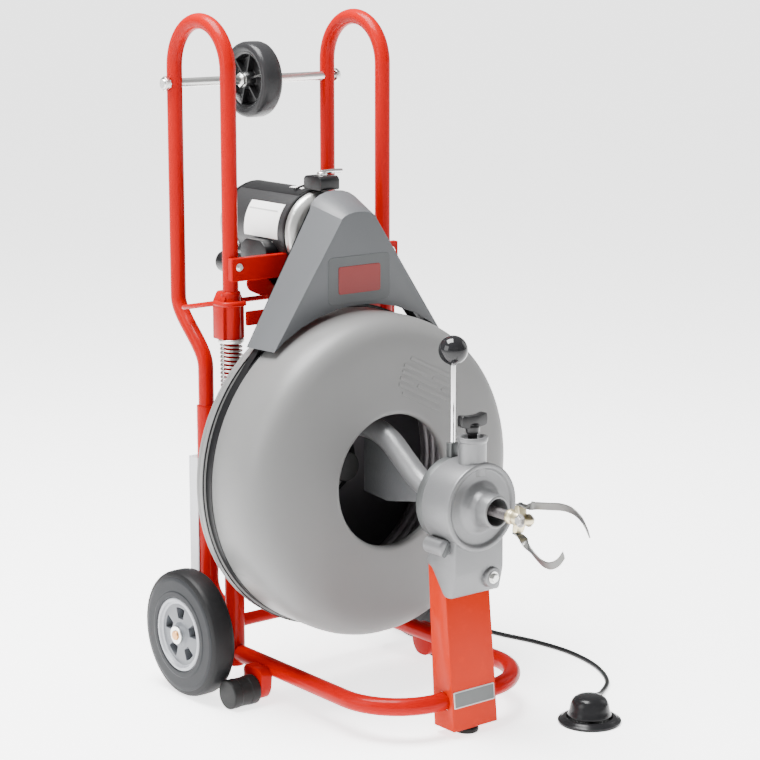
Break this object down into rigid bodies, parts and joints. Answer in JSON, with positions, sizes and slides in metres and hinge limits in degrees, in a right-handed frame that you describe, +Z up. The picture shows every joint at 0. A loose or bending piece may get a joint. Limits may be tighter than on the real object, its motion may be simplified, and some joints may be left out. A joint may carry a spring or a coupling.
{
  "type": "drain snake machine",
  "caption": "Wheeled drum drain-cleaning machine: tube frame with bent handles, cable drum, roller power feed with lever, belt-driven motor under a guard, and an air foot switch.",
  "frame": {"origin": "on the floor, below the middle of the machine without its hose and foot switch", "axes": "+Z up, -Y forwards, the way the cable leaves, X across the machine, with -X its left side"},
  "size_m": [0.6527, 0.9258, 1.0921],
  "materials": {
    "air_switch": "gloss",
    "axle": "bright plated",
    "axle_tube": "gloss",
    "base_tube": "gloss",
    "belt_guard": "satin",
    "cable_coil": "dark oiled",
    "cable_coupling": "pale, satin",
    "cable_lead": "dark oiled",
    "cutter_blade_lower": "dark oiled",
    "cutter_blade_upper": "dark oiled",
    "drive_belt": "matt",
    "drive_pulley": "cast, satin",
    "drum_front_shell": "satin",
    "drum_hub": "cast, satin",
    "drum_rear_shell": "satin",
    "drum_support": "gloss",
    "feed_housing": "metallic grey paint on a casting",
    "feed_roller_left": "bright plated",
    "feed_roller_right": "bright plated",
    "feed_roller_top": "bright plated",
    "front_foot": "matt",
    "front_leg": "gloss",
    "guide_tube": "metallic grey paint on a casting",
    "handle_left": "gloss",
    "handle_right": "gloss",
    "hose_coil": "matt",
    "hose_drop": "matt",
    "hose_run": "matt",
    "lever_ball": "gloss",
    "lever_ring": "dark oiled",
    "lever_rod": "bright plated",
    "load_axle": "bright plated",
    "load_wheel_hub": "gloss",
    "load_wheel_tyre": "matt",
    "mast_left": "gloss",
    "mast_right": "gloss",
    "motor_front_bell": "cast, satin",
    "motor_rear_bell": "cast, satin",
    "motor_shell": "satin",
    "motor_tray": "gloss",
    "pedal_base": "matt",
    "pedal_dome": "matt",
    "pressure_knob": "gloss",
    "rear_foot_left": "matt",
    "rear_foot_right": "matt",
    "rear_tube_left": "gloss",
    "rear_tube_right": "gloss",
    "release_bail": "gloss",
    "rim_left": "satin",
    "rim_right": "satin",
    "sleeve_bridge": "gloss",
    "slide_rail_left": "satin",
    "slide_rail_right": "satin",
    "spring_left": "bright plated",
    "spring_right": "bright plated",
    "switch_box": "gloss",
    "switch_lever": "gloss",
    "terminal_cover": "gloss",
    "tyre_left": "matt",
    "tyre_right": "matt"
  },
  "bodies": {
    "frame": {"base_tube": "base_tube", "mast_left": "mast_left", "mast_right": "mast_right", "rear_tube_left": "rear_tube_left", "rear_tube_right": "rear_tube_right", "slide_rail_left": "slide_rail_left", "slide_rail_right": "slide_rail_right", "rear_foot_left": "rear_foot_left", "rear_foot_right": "rear_foot_right", "axle": "axle", "axle_tube": "axle_tube", "drum_support": "drum_support", "front_leg": "front_leg", "front_foot": "front_foot", "feed_housing": "feed_housing", "drive_belt": "drive_belt", "spring_left": "spring_left", "spring_right": "spring_right", "pedal_base": "pedal_base", "hose_drop": "hose_drop", "hose_coil": "hose_coil", "hose_run": "hose_run"},
    "wheel_left": {"tyre_left": "tyre_left", "rim_left": "rim_left"},
    "wheel_right": {"tyre_right": "tyre_right", "rim_right": "rim_right"},
    "drum": {"drum_front_shell": "drum_front_shell", "drum_rear_shell": "drum_rear_shell", "drum_hub": "drum_hub", "cable_coil": "cable_coil", "guide_tube": "guide_tube", "cable_lead": "cable_lead", "cable_coupling": "cable_coupling", "cutter_blade_upper": "cutter_blade_upper", "cutter_blade_lower": "cutter_blade_lower"},
    "feed_lever": {"lever_ring": "lever_ring", "lever_rod": "lever_rod", "lever_ball": "lever_ball"},
    "pressure_screw": {"pressure_knob": "pressure_knob"},
    "roller_top": {"feed_roller_top": "feed_roller_top"},
    "roller_left": {"feed_roller_left": "feed_roller_left"},
    "roller_right": {"feed_roller_right": "feed_roller_right"},
    "carriage": {"handle_left": "handle_left", "handle_right": "handle_right", "sleeve_bridge": "sleeve_bridge", "load_axle": "load_axle", "motor_tray": "motor_tray", "motor_front_bell": "motor_front_bell", "motor_shell": "motor_shell", "motor_rear_bell": "motor_rear_bell", "terminal_cover": "terminal_cover", "air_switch": "air_switch", "switch_box": "switch_box", "belt_guard": "belt_guard"},
    "load_wheel": {"load_wheel_tyre": "load_wheel_tyre", "load_wheel_hub": "load_wheel_hub"},
    "bail": {"release_bail": "release_bail"},
    "pulley": {"drive_pulley": "drive_pulley"},
    "switch_arm": {"switch_lever": "switch_lever"},
    "pedal": {"pedal_dome": "pedal_dome"}
  },
  "joints": [
    {"name": "carriage_slide", "type": "slide", "parent": "frame", "child": "carriage", "axis": [0, 0, 1], "range_m": [-0.002, 0], "stiffness_N_per_m": 20000, "springref_m": 0.035, "deforming": ["spring_left", "spring_right"]},
    {"name": "drum_spin", "type": "hinge", "parent": "frame", "child": "drum", "pos_m": [0, 0, 0.364], "axis": [0, 1, 0], "continuous": true},
    {"name": "pulley_spin", "type": "hinge", "parent": "carriage", "child": "pulley", "pos_m": [0, 0.142, 0.742], "axis": [0, 1, 0], "continuous": true},
    {"name": "roller_top_spin", "type": "hinge", "parent": "frame", "child": "roller_top", "pos_m": [0, -0.18, 0.383], "axis": [0, 1, 0], "continuous": true},
    {"name": "roller_left_spin", "type": "hinge", "parent": "frame", "child": "roller_left", "pos_m": [-0.01645, -0.18, 0.3545], "axis": [0, 1, 0], "continuous": true},
    {"name": "roller_right_spin", "type": "hinge", "parent": "frame", "child": "roller_right", "pos_m": [0.01645, -0.18, 0.3545], "axis": [0, 1, 0], "continuous": true},
    {"name": "feed_lever_turn", "type": "hinge", "parent": "frame", "child": "feed_lever", "pos_m": [0, -0.138, 0.364], "axis": [0, 1, 0], "range_deg": [-25, 25]},
    {"name": "pressure_screw_turn", "type": "hinge", "parent": "frame", "child": "pressure_screw", "pos_m": [0, -0.184, 0.49], "axis": [0, 0, 1], "range_deg": [-180, 180]},
    {"name": "wheel_left_spin", "type": "hinge", "parent": "frame", "child": "wheel_left", "pos_m": [-0.2399, 0.2344, 0.104], "axis": [1, 0, 0], "continuous": true},
    {"name": "wheel_right_spin", "type": "hinge", "parent": "frame", "child": "wheel_right", "pos_m": [0.2399, 0.2344, 0.104], "axis": [1, 0, 0], "continuous": true},
    {"name": "load_wheel_spin", "type": "hinge", "parent": "carriage", "child": "load_wheel", "pos_m": [0, 0.379, 0.978], "axis": [1, 0, 0], "continuous": true},
    {"name": "bail_lift", "type": "hinge", "parent": "carriage", "child": "bail", "pos_m": [0, 0.228, 0.64], "axis": [1, 0, 0], "range_deg": [0, 18]},
    {"name": "switch_turn", "type": "hinge", "parent": "carriage", "child": "switch_arm", "pos_m": [0, 0.19, 0.837], "axis": [0, 0, 1], "range_deg": [-45, 45]},
    {"name": "pedal_press", "type": "slide", "parent": "frame", "child": "pedal", "axis": [0, 0, 1], "range_m": [-0.008, 0], "stiffness_N_per_m": 2000, "springref_m": 0.002}
  ],
  "couplings": [
    {"joint": "pulley_spin", "follows": "drum_spin", "ratio": 10.32}
  ]
}
